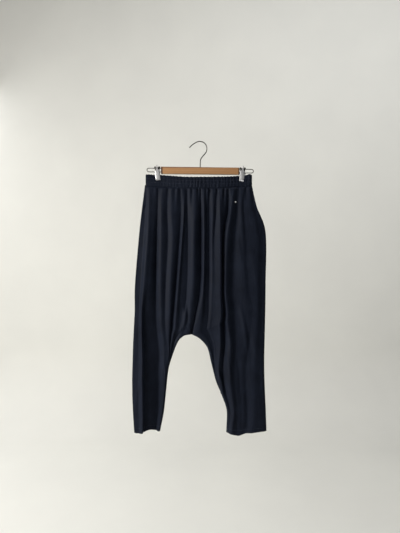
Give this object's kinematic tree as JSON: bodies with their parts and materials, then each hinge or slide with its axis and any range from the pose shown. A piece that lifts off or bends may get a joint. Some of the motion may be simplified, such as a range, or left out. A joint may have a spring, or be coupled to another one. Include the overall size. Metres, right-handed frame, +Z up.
{
  "type": "harem pants on a clip hanger",
  "caption": "Drop-crotch cropped harem pants with a gathered elastic waistband, hung flat by the waist from a wooden trouser hanger with a wire hook and sliding clips.",
  "frame": {"origin": "inside top of the hanger's hook, the point it hangs by", "axes": "+Z up along the hang, -Y out of the garment's front, +X towards the wearer's left"},
  "size_m": [0.4434, 0.0496, 0.9603],
  "materials": {
    "navy_crepe": "midnight navy viscose crepe, fluid, with a soft sheen",
    "stud_metal": "polished metal stud",
    "beech": "honey-brown oiled beech",
    "plated_wire": "nickel-plated steel wire",
    "plated_sheet": "nickel-plated pressed steel",
    "spring_steel": "dark spring steel"
  },
  "bodies": {
    "root": {"waistband_front": "navy_crepe", "waistband_back": "navy_crepe", "front_right": "navy_crepe", "front_left": "navy_crepe", "back_right": "navy_crepe", "back_left": "navy_crepe", "pocket_facing_right": "navy_crepe", "pocket_facing_left": "navy_crepe", "stud": "stud_metal", "hanger_bar": "beech", "hanger_hook": "plated_wire", "hanger_loop_right": "plated_wire", "hanger_loop_left": "plated_wire", "clip_right_block": "spring_steel", "clip_right_front_jaw": "plated_sheet", "clip_right_back_jaw": "plated_sheet", "clip_left_block": "spring_steel", "clip_left_front_jaw": "plated_sheet", "clip_left_back_jaw": "plated_sheet"}
  },
  "joints": []
}
